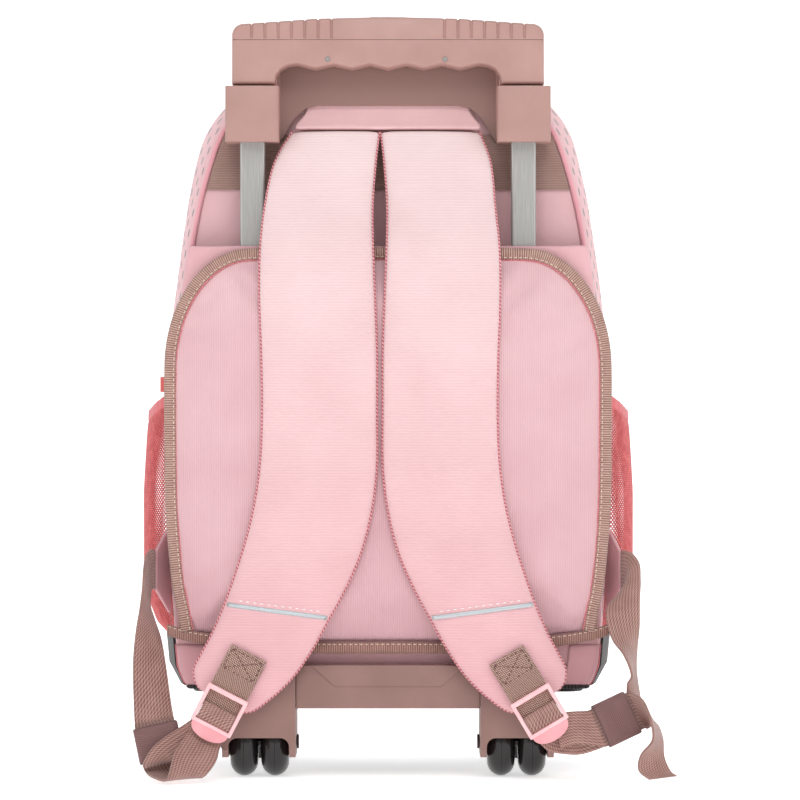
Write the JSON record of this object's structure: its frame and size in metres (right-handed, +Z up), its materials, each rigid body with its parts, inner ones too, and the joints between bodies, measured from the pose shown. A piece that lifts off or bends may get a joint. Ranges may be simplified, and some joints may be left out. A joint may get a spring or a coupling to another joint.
{
  "type": "wheeled backpack",
  "caption": "Soft school backpack on a telescopic trolley frame with wheels, padded shoulder straps, a padded back and side mesh pockets.",
  "frame": {"origin": "on the floor, at the middle of the bounding box", "axes": "+Z up along the trolley tubes; -Y is the carrying side with the shoulder straps; +X to the right as seen from that side"},
  "size_m": [0.3686, 0.2502, 0.5203],
  "materials": {
    "shell_fabric": "woven polyester, dusty pink",
    "lid_fabric": "woven polyester, pink",
    "zip_tape": "zip tape with coil",
    "skirt_fabric": "black woven skirt",
    "slider_metal": "satin",
    "tube_metal": "satin anodised",
    "grip_plastic": "satin mauve",
    "bridge_plastic": "satin mauve",
    "base_plastic": "satin mauve",
    "axle_metal": "dark screws",
    "wheel_plastic": "glossy black",
    "tray_plastic": "black",
    "band_tape": "woven taupe band",
    "panel_fabric": "ribbed padded cloth, pink",
    "binding_tape": "taupe grosgrain",
    "strap_fabric": "ribbed padded cloth, pale pink",
    "reflective_tape": "grey reflective tape",
    "patch_webbing": "taupe woven patch",
    "buckle_plastic": "pink",
    "webbing": "taupe webbing",
    "elastic": "dark taupe elastic",
    "mesh": "coral open mesh",
    "rim_tape": "coral binding"
  },
  "bodies": {
    "bag": {"bag_shell": "shell_fabric", "back_sleeve": "shell_fabric", "side_wing_left": "shell_fabric", "side_wing_right": "shell_fabric", "front_lid": "lid_fabric", "zip_band": "zip_tape", "base_skirt": "skirt_fabric", "zip_slider_left": "slider_metal", "zip_slider_right": "slider_metal", "outer_tube_left": "tube_metal", "outer_tube_right": "tube_metal", "top_bridge": "bridge_plastic", "wheel_housing_left": "base_plastic", "wheel_housing_right": "base_plastic", "base_crossbar": "base_plastic", "axle_left": "axle_metal", "axle_right": "axle_metal", "base_tray": "tray_plastic", "front_foot_left": "tray_plastic", "front_foot_right": "tray_plastic", "back_band": "band_tape", "back_panel": "panel_fabric", "panel_binding": "binding_tape", "lower_binding": "binding_tape", "yoke": "strap_fabric", "shoulder_strap_left": "strap_fabric", "shoulder_strap_right": "strap_fabric", "reflective_strip_left": "reflective_tape", "reflective_strip_right": "reflective_tape", "strap_patch_left": "patch_webbing", "strap_patch_right": "patch_webbing", "ladder_buckle_left": "buckle_plastic", "ladder_buckle_right": "buckle_plastic", "adjust_webbing_left": "webbing", "adjust_webbing_right": "webbing", "webbing_tail_left": "webbing", "webbing_tail_right": "webbing", "elastic_keeper_left": "elastic", "elastic_keeper_right": "elastic", "mesh_pocket_left": "mesh", "mesh_pocket_right": "mesh", "pocket_rim_left": "rim_tape", "pocket_rim_right": "rim_tape", "side_tab": "rim_tape"},
    "handle": {"grip": "grip_plastic", "release_button": "grip_plastic", "inner_tube_left": "tube_metal", "inner_tube_right": "tube_metal"},
    "wheel_left_outer_body": {"wheel_left_outer": "wheel_plastic"},
    "wheel_left_inner_body": {"wheel_left_inner": "wheel_plastic"},
    "wheel_right_outer_body": {"wheel_right_outer": "wheel_plastic"},
    "wheel_right_inner_body": {"wheel_right_inner": "wheel_plastic"}
  },
  "joints": [
    {"name": "handle_slide", "type": "slide", "parent": "bag", "child": "handle", "axis": [0, 0, 1], "range_m": [0, 0.36]},
    {"name": "wheel_left_outer_spin", "type": "hinge", "parent": "bag", "child": "wheel_left_outer_body", "pos_m": [-0.10974, -0.05398, 0.0235], "axis": [1, 0, 0], "continuous": true},
    {"name": "wheel_left_inner_spin", "type": "hinge", "parent": "bag", "child": "wheel_left_inner_body", "pos_m": [-0.08854, -0.05398, 0.0235], "axis": [1, 0, 0], "continuous": true},
    {"name": "wheel_right_outer_spin", "type": "hinge", "parent": "bag", "child": "wheel_right_outer_body", "pos_m": [0.08746, -0.05398, 0.0235], "axis": [1, 0, 0], "continuous": true},
    {"name": "wheel_right_inner_spin", "type": "hinge", "parent": "bag", "child": "wheel_right_inner_body", "pos_m": [0.06626, -0.05398, 0.0235], "axis": [1, 0, 0], "continuous": true}
  ]
}
